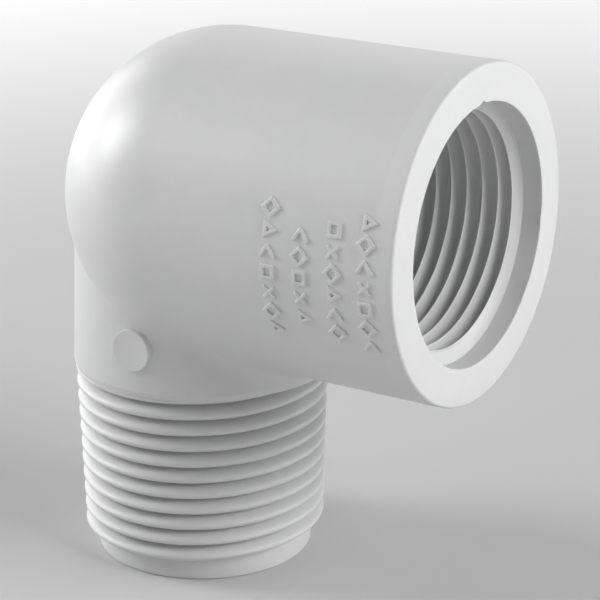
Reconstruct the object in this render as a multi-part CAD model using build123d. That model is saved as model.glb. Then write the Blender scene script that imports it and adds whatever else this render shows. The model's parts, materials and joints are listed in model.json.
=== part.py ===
"""Threaded 90 degree street elbow for 1 in pipe: one moulding in rigid PVC.

Frame: the origin is the centre of the male end's face, +Z runs up the male end's axis,
and +X runs out of the female port. Each solid is one region of the moulding, split from
the next on a flat or round face, so that the solids meet and together fill its shape.
"""
from build123d import *
import math
import os

# Taper pipe thread, 1 in size
PITCH = 25.4 / 11.5
THREAD_DEPTH = 0.8 * PITCH
RADIUS_PER_MM = 1 / 32
THREAD_FLAT = 0.038 * PITCH
SEAT_GAP = 0.02

# Male end, heights above its face
PILOT_RADIUS = 14.33
PILOT_HEIGHT = 1.6
SHOULDER_HEIGHT = 25.9
MALE_CREST = 2.875
MALE_START_ANGLE = 120
MALE_TURNS = 9.9
WATERWAY_RADIUS = 12.2

# Neck and rounded corner
COLLAR_RADIUS = 16.95
COLLAR_CHAMFER = (0.27, 0.8)
NECK_TOP = 16.15
AXIS_HEIGHT = 49.5
HUB_RADIUS = 21.3
DOME_CENTRE = 5.0
THROAT_FILLET = 4.0
CORNER_CORE_CENTRE = 1.0

# Female hub, distances along +X
SLEEVE_START = 20.5
BARREL_START = 23.0
RING_START = 38.6
HUB_FACE = 41.3
RECESS_RADIUS = 16.4
SLEEVE_RADIUS = 18.4
LIP_RADIUS = 15.0
LIP_START = 37.7
LIP_BACK = 37.3
SLEEVE_STEP = 1.0
FEMALE_ROOT = 16.5
FEMALE_CREST = 22.56
FEMALE_TURNS = 6.15
HUB_WATERWAY = 14.0

# Edges
FACE_EDGE = 0.4
MOUTH_EDGE = 0.15
PILOT_EDGE = 0.3

# Gate pad on the front of the neck
PAD_RADIUS = 2.75
PAD_CENTRE = (0.9, 32.2)
PAD_FACE = 17.2

# Raised marks round the front of the hub: place along X, first angle, shapes
MARK_HEIGHT = 0.25
MARK_SIDE = 1.9
MARK_ARM = 2.1
MARK_CORNER = 1.3
MARK_STROKE = 0.45
MARK_STEP = 7.0
CHEVRON_LEAN = 35
MARK_COLUMNS = (
    (24.4, 17.0, "dtcsxdt"),
    (28.8, 10.0, "cdsxt"),
    (33.3, 13.5, "sxdtcd"),
    (37.6, 17.5, "tdcxsdc"),
)

UPWARD = (Align.CENTER, Align.CENTER, Align.MIN)
hub_frame = Location(Plane(origin=(0, 0, AXIS_HEIGHT), x_dir=(0, 1, 0), z_dir=(1, 0, 0)))


def turned(*points):
    """A solid of revolution about Z from (radius, height) points."""
    return revolve(Plane.XZ * make_face(Polyline(*points, close=True)), Axis.Z)


def thread_ridge(root, height, turns, outward):
    """A 60 degree ridge wound up a right-hand taper helix, just clear of its root cone."""
    tip = root + outward * THREAD_DEPTH
    root += outward * SEAT_GAP
    foot = (PITCH - THREAD_FLAT) / 2
    lean = foot * RADIUS_PER_MM
    section = make_face(
        Polyline(
            (root - lean, height - foot),
            (tip, height - THREAD_FLAT / 2),
            (tip, height + THREAD_FLAT / 2),
            (root + lean, height + foot),
            close=True,
        )
    )
    path = Helix(
        pitch=PITCH,
        height=turns * PITCH,
        radius=root,
        center=(0, 0, height),
        cone_angle=math.degrees(math.atan(RADIUS_PER_MM)),
    )
    return sweep(Plane.XZ * section, path=path, is_frenet=True)


def male_root(height):
    """Radius of the male root cone at a height."""
    return PILOT_RADIUS + (height - PILOT_HEIGHT) * RADIUS_PER_MM


def male_core():
    """Tube of the male end: a plain nose, then the thread's root cone."""
    core = turned(
        (WATERWAY_RADIUS, 0),
        (PILOT_RADIUS, 0),
        (PILOT_RADIUS, PILOT_HEIGHT),
        (male_root(SHOULDER_HEIGHT), SHOULDER_HEIGHT),
        (WATERWAY_RADIUS, SHOULDER_HEIGHT),
    )
    rims = core.edges().filter_by(lambda edge: edge.bounding_box().max.Z < 0.01)
    return fillet(rims.sort_by(SortBy.RADIUS)[-1], PILOT_EDGE)


def male_thread():
    """Male taper thread round the root cone."""
    ridge = thread_ridge(male_root(MALE_CREST), MALE_CREST, MALE_TURNS, 1)
    return ridge.rotate(Axis.Z, MALE_START_ANGLE)


def neck():
    """Outside of the vertical neck, a solid that ends inside the dome."""
    inset, rise = COLLAR_CHAMFER
    return turned(
        (0, SHOULDER_HEIGHT),
        (COLLAR_RADIUS - inset, SHOULDER_HEIGHT),
        (COLLAR_RADIUS, SHOULDER_HEIGHT + rise),
        (NECK_TOP, AXIS_HEIGHT),
        (0, AXIS_HEIGHT),
    )


def domed_hub():
    """Outside of the hub, a cylinder along X that ends in half a sphere."""
    side_view = Plane(origin=(0, 0, AXIS_HEIGHT), x_dir=(1, 0, 0), z_dir=(0, -1, 0))
    tip, shoulder = (DOME_CENTRE - HUB_RADIUS, 0), (DOME_CENTRE, HUB_RADIUS)
    outline = [
        Polyline(tip, (BARREL_START, 0), (BARREL_START, HUB_RADIUS), shoulder),
        RadiusArc(shoulder, tip, -HUB_RADIUS),
    ]
    hub_axis = Axis((0, 0, AXIS_HEIGHT), (1, 0, 0))
    return revolve(side_view * make_face(outline), hub_axis)


def corner_body():
    """Neck, dome and the start of the hub, with the waterway's turn inside."""
    outside = domed_hub() + neck()
    seam = [
        edge
        for edge in outside.edges()
        if edge.geom_type not in (GeomType.LINE, GeomType.CIRCLE)
    ]
    outside = fillet(seam, THROAT_FILLET)
    core = Cylinder(WATERWAY_RADIUS, AXIS_HEIGHT, align=UPWARD)
    core += Pos(CORNER_CORE_CENTRE, 0, AXIS_HEIGHT) * Sphere(HUB_WATERWAY)
    along_hub = Cylinder(HUB_WATERWAY, HUB_FACE, align=UPWARD)
    core += hub_frame * Pos(0, 0, CORNER_CORE_CENTRE) * along_hub
    seat = Cylinder(SLEEVE_RADIUS, HUB_FACE, align=UPWARD)
    core += hub_frame * Pos(0, 0, SLEEVE_START) * seat
    return outside - core


def hub_barrel():
    """Outer wall of the female hub."""
    length = RING_START - BARREL_START
    tube = Cylinder(HUB_RADIUS, length, align=UPWARD)
    tube -= Cylinder(SLEEVE_RADIUS, length, align=UPWARD)
    return hub_frame * Pos(0, 0, BARREL_START) * tube


def hub_face_ring():
    """Flat-faced ring round the mouth, with the plain recess that leads a pipe in."""
    ring = turned(
        (RECESS_RADIUS, RING_START),
        (HUB_RADIUS, RING_START),
        (HUB_RADIUS, HUB_FACE),
        (RECESS_RADIUS, HUB_FACE),
    )
    for place, radius in ((-1, FACE_EDGE), (0, MOUTH_EDGE)):
        rims = ring.edges().filter_by(lambda edge: edge.bounding_box().min.Z > HUB_FACE - 0.01)
        ring = fillet(rims.sort_by(SortBy.RADIUS)[place], radius)
    return hub_frame * ring


def female_root(place):
    """Radius of the female root cone at a place along X."""
    return FEMALE_ROOT - (LIP_START - place) * RADIUS_PER_MM


def female_sleeve():
    """Inner wall of the hub: the thread's root cone and the countersunk lip before it."""
    inner_end = SLEEVE_START + SLEEVE_STEP
    sleeve = turned(
        (HUB_WATERWAY, SLEEVE_START),
        (SLEEVE_RADIUS, SLEEVE_START),
        (SLEEVE_RADIUS, RING_START),
        (RECESS_RADIUS, RING_START),
        (LIP_RADIUS, LIP_START),
        (female_root(LIP_BACK), LIP_BACK),
        (female_root(inner_end), inner_end),
        (HUB_WATERWAY, inner_end),
    )
    return hub_frame * sleeve


def female_thread():
    """Female taper thread inside the sleeve's root cone."""
    ridge = thread_ridge(female_root(FEMALE_CREST), FEMALE_CREST, FEMALE_TURNS, -1)
    return hub_frame * ridge


def gate_pad():
    """Flat round pad left on the neck where the mould was filled."""
    across, height = PAD_CENTRE
    pad = Cylinder(PAD_RADIUS, PAD_FACE, align=UPWARD)
    return Pos(across, 0, height) * Rot(90, 0, 0) * pad - neck()


def bar(length, turn):
    """One stroke of a mark."""
    return Rot(0, 0, turn) * Rectangle(MARK_STROKE, length)


def mark_outline(kind):
    """Outline of one raised mark, drawn about its own centre."""
    hollow = MARK_SIDE - 2 * MARK_STROKE
    frame = Rectangle(MARK_SIDE, MARK_SIDE) - Rectangle(hollow, hollow)
    if kind == "s":
        return frame
    if kind == "d":
        return Rot(0, 0, 45) * frame
    if kind == "t":
        return RegularPolygon(MARK_CORNER, 3) - RegularPolygon(MARK_CORNER - 2 * MARK_STROKE, 3)
    if kind == "c":
        half = Pos(MARK_SIDE / 4, 0) * bar(MARK_SIDE, CHEVRON_LEAN)
        return half + Pos(-MARK_SIDE / 4, 0) * bar(MARK_SIDE, -CHEVRON_LEAN)
    return bar(MARK_ARM, 45) + bar(MARK_ARM, -45)


def raised_marks():
    """Four columns of plain raised marks, each a separate solid on the hub's surface."""
    skin = Cylinder(HUB_RADIUS + MARK_HEIGHT, HUB_FACE, align=UPWARD)
    skin = hub_frame * (skin - Cylinder(HUB_RADIUS, HUB_FACE, align=UPWARD))
    marks = []
    for place, first_angle, kinds in MARK_COLUMNS:
        for number, kind in enumerate(kinds):
            angle = first_angle - number * MARK_STEP
            facing = Pos(place, 0, AXIS_HEIGHT) * Rot(90 - angle, 0, 0)
            stamp = extrude(mark_outline(kind), HUB_RADIUS + 2 * MARK_HEIGHT)
            marks += (facing * stamp & skin).solids()
    return Compound(children=marks)


os.makedirs("parts", exist_ok=True)
for make in (
    male_core,
    male_thread,
    corner_body,
    hub_barrel,
    hub_face_ring,
    female_sleeve,
    female_thread,
    gate_pad,
    raised_marks,
):
    export_step(make(), f"parts/{make.__name__}.step")
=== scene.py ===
import json
import math

import bmesh
import bpy
import numpy as np
from mathutils import Matrix, Vector


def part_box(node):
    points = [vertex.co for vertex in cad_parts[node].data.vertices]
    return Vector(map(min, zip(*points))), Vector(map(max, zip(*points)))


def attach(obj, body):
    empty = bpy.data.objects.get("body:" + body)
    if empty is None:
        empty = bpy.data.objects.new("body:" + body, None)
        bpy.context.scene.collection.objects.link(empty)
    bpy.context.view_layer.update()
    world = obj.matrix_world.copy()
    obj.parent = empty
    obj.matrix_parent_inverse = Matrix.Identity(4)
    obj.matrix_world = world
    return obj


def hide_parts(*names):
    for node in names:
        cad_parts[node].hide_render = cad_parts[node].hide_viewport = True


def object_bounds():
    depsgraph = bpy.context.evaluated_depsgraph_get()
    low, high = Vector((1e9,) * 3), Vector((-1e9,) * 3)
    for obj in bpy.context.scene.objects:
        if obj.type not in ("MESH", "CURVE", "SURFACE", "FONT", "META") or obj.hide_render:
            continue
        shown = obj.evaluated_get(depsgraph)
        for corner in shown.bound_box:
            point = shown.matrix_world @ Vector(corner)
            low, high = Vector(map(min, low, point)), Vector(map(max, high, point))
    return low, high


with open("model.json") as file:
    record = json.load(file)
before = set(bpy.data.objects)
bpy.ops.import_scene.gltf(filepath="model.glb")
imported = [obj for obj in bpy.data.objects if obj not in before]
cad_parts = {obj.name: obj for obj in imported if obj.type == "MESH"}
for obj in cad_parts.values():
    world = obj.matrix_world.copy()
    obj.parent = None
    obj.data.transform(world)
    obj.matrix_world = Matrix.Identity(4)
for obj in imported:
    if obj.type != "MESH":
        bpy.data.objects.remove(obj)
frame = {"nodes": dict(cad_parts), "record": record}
cad_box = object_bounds()

# ---------------------------------------------------------------- white PVC, as moulded
# The whole elbow is one shot of rigid white PVC. The skin is satin, with a faint
# orange peel, a little drift in tone, and slow flow marks round where it was filled.
# Lengths in this file are millimetres, and each mesh is turned into metres when it is made.
MM = 0.001
gate_low, gate_high = (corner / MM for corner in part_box("gate_pad"))
gate_centre = (gate_low + gate_high) / 2


def pvc_finish(name, white, gloss, peel):
    """White PVC: white is its brightness, gloss its mean roughness, peel the depth of its skin."""
    material = bpy.data.materials.new(name)
    material.use_nodes = True
    nodes, links = material.node_tree.nodes, material.node_tree.links
    shader = nodes["Principled BSDF"]
    shader.inputs["IOR"].default_value = 1.53
    shader.inputs["Specular IOR Level"].default_value = 0.5

    place = nodes.new("ShaderNodeTexCoord")

    def noise(cycles_per_mm, detail, roughness=0.5):
        texture = nodes.new("ShaderNodeTexNoise")
        texture.inputs["Scale"].default_value = cycles_per_mm / MM
        texture.inputs["Detail"].default_value = detail
        texture.inputs["Roughness"].default_value = roughness
        links.new(place.outputs["Object"], texture.inputs["Vector"])
        return texture.outputs["Fac"]

    def spread(signal, low, high, source=(0.3, 0.7)):
        """Maps a signal from the source range on to low..high."""
        ranged = nodes.new("ShaderNodeMapRange")
        ranged.inputs["From Min"].default_value = source[0]
        ranged.inputs["From Max"].default_value = source[1]
        ranged.inputs["To Min"].default_value = low
        ranged.inputs["To Max"].default_value = high
        links.new(signal, ranged.inputs["Value"])
        return ranged.outputs["Result"]

    def combine(kind, first, second):
        sum_node = nodes.new("ShaderNodeMath")
        sum_node.operation = kind
        links.new(first, sum_node.inputs[0])
        links.new(second, sum_node.inputs[1])
        return sum_node.outputs["Value"]

    # flow marks: rings about the filling point, bent by the slow drift of the melt
    drift = noise(0.09, 3)
    from_gate = nodes.new("ShaderNodeVectorMath")
    from_gate.operation = "DISTANCE"
    links.new(place.outputs["Object"], from_gate.inputs[0])
    from_gate.inputs[1].default_value = gate_centre * MM
    reach = spread(from_gate.outputs["Value"], 0, 9, (0, 0.05))
    bent = combine("ADD", reach, spread(drift, 0, 3))
    ripple = nodes.new("ShaderNodeMath")
    ripple.operation = "SINE"
    links.new(bent, ripple.inputs[0])
    flow = spread(ripple.outputs["Value"], 0, 1, (-1, 1))

    # tone: a slow drift, a finer mottle and the flow marks
    mottle = noise(0.55, 4, 0.6)
    tone = combine("MULTIPLY", spread(drift, 0.985, 1.012), spread(mottle, 0.985, 1.01))
    tone = combine("MULTIPLY", tone, spread(flow, 0.994, 1.004, (0, 1)))
    tint = nodes.new("ShaderNodeMix")
    tint.data_type = "RGBA"
    tint.blend_type = "MULTIPLY"
    tint.inputs["Factor"].default_value = 1
    cool = nodes.new("ShaderNodeValToRGB")
    cool.color_ramp.elements[0].color = (white * 0.985, white * 0.995, white, 1)
    cool.color_ramp.elements[1].color = (white, white, white * 0.992, 1)
    links.new(drift, cool.inputs["Fac"])
    links.new(cool.outputs["Color"], tint.inputs["A"])
    links.new(tone, tint.inputs["B"])
    links.new(tint.outputs["Result"], shader.inputs["Base Color"])

    # gloss: duller where the melt cooled first, with a fine unevenness
    dull = combine("ADD", spread(mottle, gloss - 0.03, gloss + 0.03), spread(flow, -0.015, 0.015, (0, 1)))
    links.new(dull, shader.inputs["Roughness"])

    # skin: orange peel over a slower waviness from shrinkage
    skin = nodes.new("ShaderNodeBump")
    skin.inputs["Strength"].default_value = 1
    skin.inputs["Distance"].default_value = peel * MM
    links.new(noise(1.6, 3, 0.55), skin.inputs["Height"])
    sink = nodes.new("ShaderNodeBump")
    sink.inputs["Strength"].default_value = 1
    sink.inputs["Distance"].default_value = 0.05 * MM
    links.new(noise(0.12, 1), sink.inputs["Height"])
    links.new(sink.outputs["Normal"], skin.inputs["Normal"])
    links.new(skin.outputs["Normal"], shader.inputs["Normal"])
    return material


satin_skin = pvc_finish("pvc_satin_skin", 0.68, 0.36, 0.012)
thread_skin = pvc_finish("pvc_thread_skin", 0.68, 0.42, 0.008)
rim_skin = pvc_finish("pvc_rim_skin", 0.70, 0.45, 0.010)

# ---------------------------------------------------------------- male end
# The lower end is a tube with a plain nose, wound with a right-hand taper pipe thread of
# 11.5 turns to the inch. Its last turn runs straight into the shoulder of the neck.
# It is moulded in one with the neck, by a threaded insert that is unscrewed afterwards.
mount_radius = {mount["name"]: mount["dims"].get("r_mm") for mount in frame["record"]["mounts"]}
bore_radius = mount_radius["male_waterway"]
nose_radius = mount_radius["male_nose"]
shoulder_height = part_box("male_core")[1].z / MM
PITCH = 25.4 / 11.5
TAPER = 1 / 32
RIDGE_HEIGHT = 1.68
FULLNESS = 0.62
ROWS_PER_TURN = 24
CROWDING = 0.75
AROUND = 288
angles = np.arange(AROUND) * 2 * math.pi / AROUND


def about_z(radius, height):
    """One ring of points about Z; radius and height may each vary round it."""
    flat = 0 * angles
    return np.stack([radius * np.cos(angles), radius * np.sin(angles), height + flat], axis=1)


def wound_rows(valley, low, high):
    """Rows that climb one pitch a turn, closest at crest and valley, kept between low and high."""
    first = math.floor((low - valley) / PITCH) - 1
    last = math.ceil((high - valley) / PITCH) + 1
    turn = np.linspace(first, last, (last - first) * ROWS_PER_TURN + 1)
    place = turn - CROWDING * np.sin(4 * math.pi * turn) / (4 * math.pi)
    rows = valley + PITCH * (place[:, None] + angles / (2 * math.pi))
    return np.clip(rows, low, high)


def ridge_height(turns, root_round):
    """Height of a ridge with a full round crest, turns being whole at its tight valleys."""
    low, high = root_round**FULLNESS, math.sqrt(1 + root_round**2) ** FULLNESS
    swell = np.sqrt(np.sin(math.pi * turns) ** 2 + root_round**2) ** FULLNESS
    return RIDGE_HEIGHT * (swell - low) / (high - low)


def join_rings(name, rings, skin, wound=(0, 0)):
    """A closed skin through rings of points. The rings of the span wound climb like a thread."""
    count = len(rings)
    form = bmesh.new()
    verts = [form.verts.new(corner * MM) for corner in np.concatenate(rings)]
    for row in range(count):
        for column in range(AROUND):
            after = (column + 1) % AROUND
            lift = 0
            if after == 0 and wound[0] <= row < wound[1]:
                lift = ROWS_PER_TURN
            if lift and row + 1 + lift > wound[1]:
                continue
            above = (row + 1) % count
            quad = (
                verts[row * AROUND + column],
                verts[(row + lift) * AROUND + after],
                verts[(above + lift) * AROUND + after],
                verts[above * AROUND + column],
            )
            form.faces.new(quad)
    bmesh.ops.remove_doubles(form, verts=form.verts, dist=1e-3 * MM)
    loose = [vert for vert in form.verts if not vert.link_faces]
    bmesh.ops.delete(form, geom=loose, context="VERTS")
    bmesh.ops.recalc_face_normals(form, faces=form.faces)
    mesh = bpy.data.meshes.new(name)
    form.to_mesh(mesh)
    form.free()
    mesh.shade_smooth()
    mesh.set_sharp_from_angle(angle=math.radians(35))
    mesh.materials.append(skin)
    piece = bpy.data.objects.new(name, mesh)
    bpy.context.scene.collection.objects.link(piece)
    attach(piece, "root")
    return piece


def rounded(centre, radius, start, end):
    """Points (radius from the axis, place along it) round an edge, start and end in degrees."""
    turn = np.radians(np.linspace(start, end, 7))
    return [(centre[0] + radius * math.cos(t), centre[1] + radius * math.sin(t)) for t in turn]


MALE_VALLEY = 5.45
THREAD_LOW = 1.5
RIDGE_START = -600
RIDGE_FADE = 30
male_rows = wound_rows(MALE_VALLEY, THREAD_LOW, shoulder_height)
male_turns = (male_rows - MALE_VALLEY) / PITCH - angles / (2 * math.pi)
ridge_angle = np.degrees(angles) + 360 * np.floor(male_turns)
grown = np.clip((ridge_angle - RIDGE_START) / RIDGE_FADE, 0, 1)
grown = grown * grown * (3 - 2 * grown)
male_radius = nose_radius + (male_rows - THREAD_LOW) * TAPER
male_radius += grown * ridge_height(male_turns, 0.07)

# a pinhole left in one crest
PIT_ANGLE = math.radians(-56)
PIT_HEIGHT = 24.75
PIT_SIZE = 0.3
PIT_DEPTH = 0.25
pit_round = ((angles - PIT_ANGLE + math.pi) % (2 * math.pi) - math.pi) * nose_radius
male_radius -= PIT_DEPTH * np.exp(-(pit_round**2 + (male_rows - PIT_HEIGHT) ** 2) / PIT_SIZE**2)

NOSE_EDGE = 0.3
BORE_EDGE = 0.25
nose = rounded((bore_radius + BORE_EDGE, BORE_EDGE), BORE_EDGE, 180, 270)
nose += rounded((nose_radius - NOSE_EDGE, NOSE_EDGE), NOSE_EDGE, 270, 360)
male_rings = [about_z(bore_radius, height) for height in (shoulder_height, 13, 2)]
male_rings += [about_z(*corner) for corner in nose]
first_row = len(male_rings)
male_rings += [about_z(radius, height) for radius, height in zip(male_radius, male_rows)]
male_end = join_rings("male_end", male_rings, thread_skin, (first_row, len(male_rings) - 1))
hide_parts("male_core", "male_thread")

# ---------------------------------------------------------------- neck and corner
# The neck rises from a chamfered shoulder into a domed corner, which carries on as the
# start of the hub. The crease between them is tight at the back and eases to a broad
# fillet in the throat. Cores from both ends met inside, and left the waterway.
hub_low, hub_high = (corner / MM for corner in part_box("hub_barrel"))
sleeve_low, sleeve_high = (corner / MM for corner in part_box("female_sleeve"))
collar_radius = -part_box("corner_body")[0].x / MM
hub_radius = hub_high.y
hub_bore = mount_radius["hub_waterway"]
sleeve_radius = sleeve_high.y
axis_height = (hub_low.z + hub_high.z) / 2
DOME_CENTRE = 5.0
CORE_CENTRE = 1.0
COLLAR_CHAMFER = (0.27, 0.8)
NECK_SLOPE = 0.035
BACK_FILLET = 0.25
THROAT_FILLET = 4.9
collar_height = shoulder_height + COLLAR_CHAMFER[1]


def about_x(radius, along):
    """One ring of points about the hub's axis, starting at the underside."""
    flat = 0 * angles
    side, rise = radius * np.sin(angles), radius * np.cos(angles)
    return np.stack([along + flat, side, axis_height - rise], axis=1)


def outside_gap(point):
    """Distance outside the neck and hub, with the crease between them eased to a fillet."""
    x, y, z = point[..., 0], point[..., 1], point[..., 2] - axis_height
    above_collar = point[..., 2] - collar_height
    flare = np.where(above_collar > 0, NECK_SLOPE, -COLLAR_CHAMFER[0] / COLLAR_CHAMFER[1])
    from_neck = np.hypot(x, y)
    neck_gap = np.maximum(from_neck - collar_radius + flare * above_collar, z)
    back = np.minimum(x - DOME_CENTRE, 0)
    from_hub = np.sqrt(back**2 + y**2 + z**2)
    hub_gap = from_hub - hub_radius
    toward_throat = 0.5 + 0.5 * x / from_neck
    fillet = BACK_FILLET + THROAT_FILLET * toward_throat**2
    turn = 1 - (x * back + y * y) / (from_neck * from_hub)
    reach = np.maximum(fillet * turn, 1e-6)
    mix = np.maximum(reach - np.abs(neck_gap - hub_gap), 0)
    return np.minimum(neck_gap, hub_gap) - mix**2 / (4 * reach)


def waterway_gap(point):
    """Distance outside the two cores that met in the corner."""
    x, y, z = point[..., 0], point[..., 1], point[..., 2] - axis_height
    up_neck = np.maximum(np.hypot(x, y) - bore_radius, z)
    along_hub = np.sqrt(np.minimum(x - CORE_CENTRE, 0) ** 2 + y**2 + z**2) - hub_bore
    return np.minimum(up_neck, along_hub)


def cast_ring(gap, centre, outward):
    """The ring where gap is nil, seen from centre; outward points to the throat."""
    across = np.array((0, 1, 0))
    rays = np.cos(angles)[:, None] * outward + np.sin(angles)[:, None] * across
    near, far = np.full(AROUND, 5.0), np.full(AROUND, 60.0)
    for _ in range(30):
        middle = (near + far) / 2
        inside = gap(centre + middle[:, None] * rays) < 0
        near, far = np.where(inside, middle, near), np.where(inside, far, middle)
    return centre + near[:, None] * rays


# The rings lie flat up the neck, fan round a line below the throat, and stand up along the hub.
THROAT = np.array((20.0, 0, collar_height + 0.05))
FAN = 150
stations = []
for height in np.linspace(shoulder_height, collar_height, 4):
    stations.append((np.array((0, 0, height)), np.array((1.0, 0, 0))))
for tilt in np.linspace(0, math.pi / 2, FAN):
    outward = np.array((math.cos(tilt), 0, -math.sin(tilt)))
    depth = THROAT[0] + (axis_height - THROAT[2] - THROAT[0]) * tilt / (math.pi / 2)
    stations.append((THROAT - depth * outward, outward))
corner_rings = [cast_ring(outside_gap, *station) for station in stations]
corner_rings += [about_x(hub_radius, along) for along in (21.5, hub_low.x)]
corner_rings += [about_x(sleeve_radius, along) for along in (hub_low.x, sleeve_low.x)]
corner_rings += [about_x(hub_bore, sleeve_low.x)]
corner_rings += [cast_ring(waterway_gap, *station) for station in reversed(stations)]
corner = join_rings("neck_and_corner", corner_rings, satin_skin)
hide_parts("corner_body")

# ---------------------------------------------------------------- hub wall
# The straight outer wall of the female hub, moulded with the corner and flush with it.
hub_wall_rings = [about_x(hub_radius, x) for x in np.linspace(hub_low.x, hub_high.x, 9)]
hub_wall_rings += [about_x(sleeve_radius, x) for x in (hub_high.x, hub_low.x)]
hub_wall = join_rings("hub_wall", hub_wall_rings, satin_skin)
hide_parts("hub_barrel")

# ---------------------------------------------------------------- hub face
# The flat ring round the mouth, with a plain recess inside it. The mould closed on its
# inner edge, so a paper-thin flash stands round one side of it. There is one nick at the top.
ring_low, ring_high = (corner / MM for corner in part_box("hub_face_ring"))
mouth_radius = mount_radius["female_mouth"]
FACE_EDGE = 0.4
MOUTH_EDGE = 0.12
FLASH = 0.15
FLASH_MIDDLE = math.radians(72)
NICK_ANGLE = math.radians(180)
NICK_WIDTH = math.radians(1.6)
NICK_DEPTH = 0.35
ragged = np.sin(9 * angles + 1) + np.sin(23 * angles) + 0.7 * np.sin(61 * angles + 2)
flash = FLASH * np.clip(ragged - 0.3, 0, 1)
flash *= np.clip(5 * np.cos(angles - FLASH_MIDDLE) - 4, 0, 1)
flash -= NICK_DEPTH * np.exp(-(((angles - NICK_ANGLE) / NICK_WIDTH) ** 2))
face_rings = [about_x(hub_radius, ring_low.x)]
outer_edge = rounded((hub_radius - FACE_EDGE, ring_high.x - FACE_EDGE), FACE_EDGE, 0, 90)
face_rings += [about_x(*corner) for corner in outer_edge]
face_rings += [about_x(radius, ring_high.x) for radius in (19.6, 18.0, mouth_radius + 0.8)]
mouth_edge = rounded((mouth_radius + MOUTH_EDGE, ring_high.x - MOUTH_EDGE), MOUTH_EDGE, 90, 180)
face_rings += [about_x(radius - flash, along) for radius, along in mouth_edge]
face_rings += [about_x(mouth_radius, along) for along in (ring_high.x - 0.4, ring_low.x)]
hub_face = join_rings("hub_face", face_rings, rim_skin)
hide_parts("hub_face_ring")

# ---------------------------------------------------------------- female thread
# The inside of the hub: a countersunk lip, then a right-hand taper thread that narrows
# inward to the waterway. It is the reverse of the male thread: broad roots, narrow crests.
LIP_RADIUS = 15.0
LIP_DEPTH = 0.9
LIP_SLOPE = 1.7
SLEEVE_STEP = 1.0
FEMALE_ROOT = 16.5
FEMALE_VALLEY = 29.74
lip_place = sleeve_high.x - LIP_DEPTH
female_rows = wound_rows(FEMALE_VALLEY, sleeve_low.x + SLEEVE_STEP, lip_place)
female_turns = (female_rows - FEMALE_VALLEY) / PITCH - angles / (2 * math.pi)
female_radius = FEMALE_ROOT - (lip_place - female_rows) * TAPER
female_radius -= RIDGE_HEIGHT - ridge_height(female_turns + 0.5, 0.15)
female_radius = np.minimum(female_radius, LIP_RADIUS + (lip_place - female_rows) * LIP_SLOPE)
sleeve_rings = [about_x(sleeve_radius, along) for along in (sleeve_high.x, sleeve_low.x)]
sleeve_rings += [about_x(hub_bore, sleeve_low.x), about_x(hub_bore, female_rows.min())]
first_row = len(sleeve_rings)
sleeve_rings += [about_x(radius, along) for radius, along in zip(female_radius, female_rows)]
last_row = len(sleeve_rings) - 1
sleeve_rings += [about_x(mouth_radius, sleeve_high.x)]
sleeve = join_rings("female_socket", sleeve_rings, thread_skin, (first_row, last_row))
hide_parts("female_sleeve", "female_thread")

# ---------------------------------------------------------------- gate pad
# A round pad on the front of the neck, where the melt came in and the sprue was sheared
# off. Its face is flat with a slightly proud rim.
pad_radius = (gate_high.x - gate_low.x) / 2
PAD_EDGE = 0.07
PAD_DISH = 0.03
PAD_DEPTH = 2.5
PAD_RIM = 0.35


def about_y(radius, along):
    """One ring of points about the pad's own axis, along being its distance to the front."""
    flat = 0 * angles
    side, rise = radius * np.cos(angles), radius * np.sin(angles)
    return np.stack([gate_centre.x + side, -along + flat, gate_centre.z + rise], axis=1)


pad_face = -gate_low.y
pad_profile = [(0, pad_face - PAD_DEPTH), (pad_radius, pad_face - PAD_DEPTH)]
pad_profile += rounded((pad_radius - PAD_EDGE, pad_face - PAD_EDGE), PAD_EDGE, 0, 90)
pad_profile += [(pad_radius - PAD_RIM, pad_face - PAD_DISH), (0, pad_face - PAD_DISH)]
pad = join_rings("gate_pad_face", [about_y(*corner) for corner in pad_profile], rim_skin)
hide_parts("gate_pad")

# ---------------------------------------------------------------- raised marks
# Four short columns of plain shapes cut into the mould, so they stand 0.25 mm proud of the
# hub. Their strokes are soft-edged, because the melt never quite fills such fine cuts.
MARK_SINK = 0.5
MARK_GRAIN = 0.075
marks = bpy.data.objects.new("soft_marks", frame["nodes"]["raised_marks"].data.copy())
bpy.context.scene.collection.objects.link(marks)
for vert in marks.data.vertices:
    away = Vector((0, vert.co.y, vert.co.z - axis_height * MM))
    if away.length < (hub_radius + 0.05) * MM:
        vert.co -= away.normalized() * MARK_SINK * MM
grain = marks.modifiers.new("grain", "REMESH")
grain.mode = "VOXEL"
grain.voxel_size = MARK_GRAIN * MM
grain.use_smooth_shade = True
ease = marks.modifiers.new("ease", "SMOOTH")
ease.factor = 0.5
ease.iterations = 5
graph = bpy.context.evaluated_depsgraph_get()
softened = bpy.data.meshes.new_from_object(marks.evaluated_get(graph), depsgraph=graph)
marks.modifiers.clear()
marks.data = softened
marks.data.materials.clear()
marks.data.materials.append(satin_skin)
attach(marks, "root")
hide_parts("raised_marks")

# ---------------------------------------------------------------- floor
# A wide, plain, pale sweep of board that the elbow stands on. Its face carries a painted glow: it glows
# more with distance from the elbow, so it stays darker close by and turns near white farther off.
board = bpy.data.meshes.new("floor")
BOARD_REACH = 3.0
board.from_pydata(
    [(x * BOARD_REACH, y * BOARD_REACH, 0) for x, y in ((-1, -1), (1, -1), (1, 1), (-1, 1))],
    [],
    [(0, 1, 2, 3)],
)
floor = bpy.data.objects.new("floor", board)
bpy.context.scene.collection.objects.link(floor)
paper = bpy.data.materials.new("pale_board")
paper.use_nodes = True
paper_shader = paper.node_tree.nodes["Principled BSDF"]
paper_shader.inputs["Base Color"].default_value = (0.6, 0.6, 0.6, 1)
paper_shader.inputs["Roughness"].default_value = 0.9
paper_shader.inputs["Specular IOR Level"].default_value = 0.2
paper_shader.inputs["Emission Color"].default_value = (1, 1, 1, 1)
paper_nodes, paper_links = paper.node_tree.nodes, paper.node_tree.links
paper_place = paper_nodes.new("ShaderNodeTexCoord")
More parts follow.
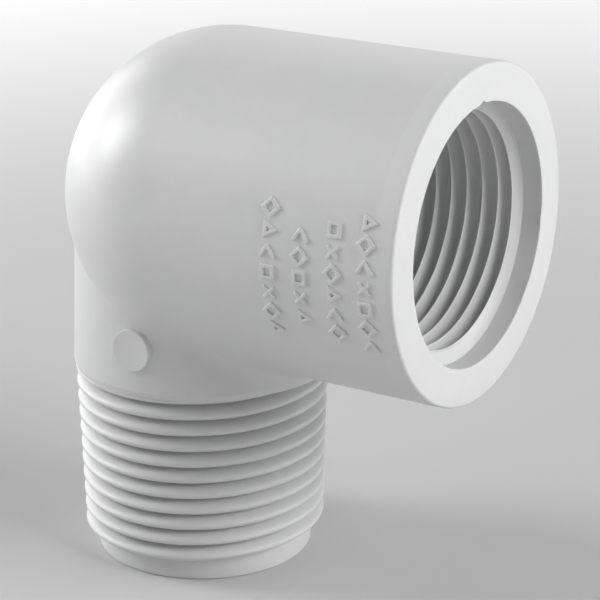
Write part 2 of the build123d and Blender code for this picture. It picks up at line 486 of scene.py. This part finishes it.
paper_distance = paper_nodes.new("ShaderNodeVectorMath")
paper_distance.operation = "LENGTH"
paper_links.new(paper_place.outputs["Object"], paper_distance.inputs[0])
# painted glow: emission strength rises from nil near the elbow to 0.5 at 0.45 m away
painted_floor_glow = paper_nodes.new("ShaderNodeMapRange")
painted_floor_glow.interpolation_type = "SMOOTHSTEP"
painted_floor_glow.inputs["From Min"].default_value = 0.08
painted_floor_glow.inputs["From Max"].default_value = 0.45
painted_floor_glow.inputs["To Max"].default_value = 0.5
paper_links.new(paper_distance.outputs["Value"], painted_floor_glow.inputs["Value"])
paper_links.new(painted_floor_glow.outputs["Result"], paper_shader.inputs["Emission Strength"])
board.materials.append(paper)

# ---------------------------------------------------------------- camera and lights
# The camera looks down a little at the front right of the elbow through a long lens.
# Soft boxes stand round it, as in a product booth, with a pale wall far behind.
camera_data = bpy.data.cameras.new("camera")
camera_data.lens = 140.4
camera_data.sensor_width = 36
camera_data.clip_start = 0.01
camera = bpy.data.objects.new("camera", camera_data)
bpy.context.scene.collection.objects.link(camera)
bpy.context.scene.camera = camera
CAMERA_AIM = Vector((15.4, 0, 36.6))
CAMERA_DISTANCE = 300
turn, rise, roll = (math.radians(degrees) for degrees in (32.4, 19.1, 0.2))


def direction(azimuth, elevation):
    """Unit vector towards an azimuth, from the front towards the right, and an elevation."""
    level = math.cos(elevation)
    return Vector((math.sin(azimuth) * level, -math.cos(azimuth) * level, math.sin(elevation)))


back = direction(turn, rise)
right = Vector((math.cos(turn), math.sin(turn), 0))
up = back.cross(right)
tilted = math.cos(roll) * right - math.sin(roll) * up
upright = math.sin(roll) * right + math.cos(roll) * up
camera.matrix_world = Matrix((tilted, upright, back)).transposed().to_4x4()
camera.location = (CAMERA_AIM + CAMERA_DISTANCE * back) * MM

middle = (cad_box[0] + cad_box[1]) / 2
BOX_DISTANCE = 0.8
# name, azimuth, elevation, side in metres, power in watts
soft_boxes = (
    ("key box, left", -71, 25, 0.3, 2.8),
    ("small box, left front", -40, 33, 0.3, 0.3),
    ("wide low box, far left", -95, 5, 0.8, 6.0),
    ("top box", -20, 60, 0.6, 0.9),
    ("right box", 90, 35, 0.45, 4.0),
    ("low box, right back", 125, 10, 0.45, 2.0),
    ("wide box, left back", -150, 30, 0.6, 1.0),
)
for name, azimuth, elevation, side, power in soft_boxes:
    lamp_data = bpy.data.lights.new(name, "AREA")
    lamp_data.shape = "SQUARE"
    lamp_data.size = side
    lamp_data.energy = power
    lamp = bpy.data.objects.new(name, lamp_data)
    bpy.context.scene.collection.objects.link(lamp)
    toward = direction(math.radians(azimuth), math.radians(elevation))
    lamp.location = middle + toward * BOX_DISTANCE
    lamp.rotation_euler = toward.to_track_quat("Z", "Y").to_euler()
world = bpy.data.worlds.new("booth")
world.use_nodes = True
world_nodes, world_links = world.node_tree.nodes, world.node_tree.links
background = world_nodes["Background"]
background.inputs["Color"].default_value = (1, 1, 1, 1)
sky_place = world_nodes.new("ShaderNodeTexCoord")
sky_parts = world_nodes.new("ShaderNodeSeparateXYZ")
world_links.new(sky_place.outputs["Generated"], sky_parts.inputs["Vector"])
wall = world_nodes.new("ShaderNodeMapRange")
wall.interpolation_type = "SMOOTHSTEP"
wall.inputs["From Min"].default_value = math.sin(math.radians(5))
wall.inputs["From Max"].default_value = math.sin(math.radians(14))
wall.inputs["To Min"].default_value = 0.7
wall.inputs["To Max"].default_value = 0
world_links.new(sky_parts.outputs["Z"], wall.inputs["Value"])
world_links.new(wall.outputs["Result"], background.inputs["Strength"])
bpy.context.scene.world = world
bpy.context.scene.view_settings.view_transform = "Standard"

bpy.context.view_layer.update()
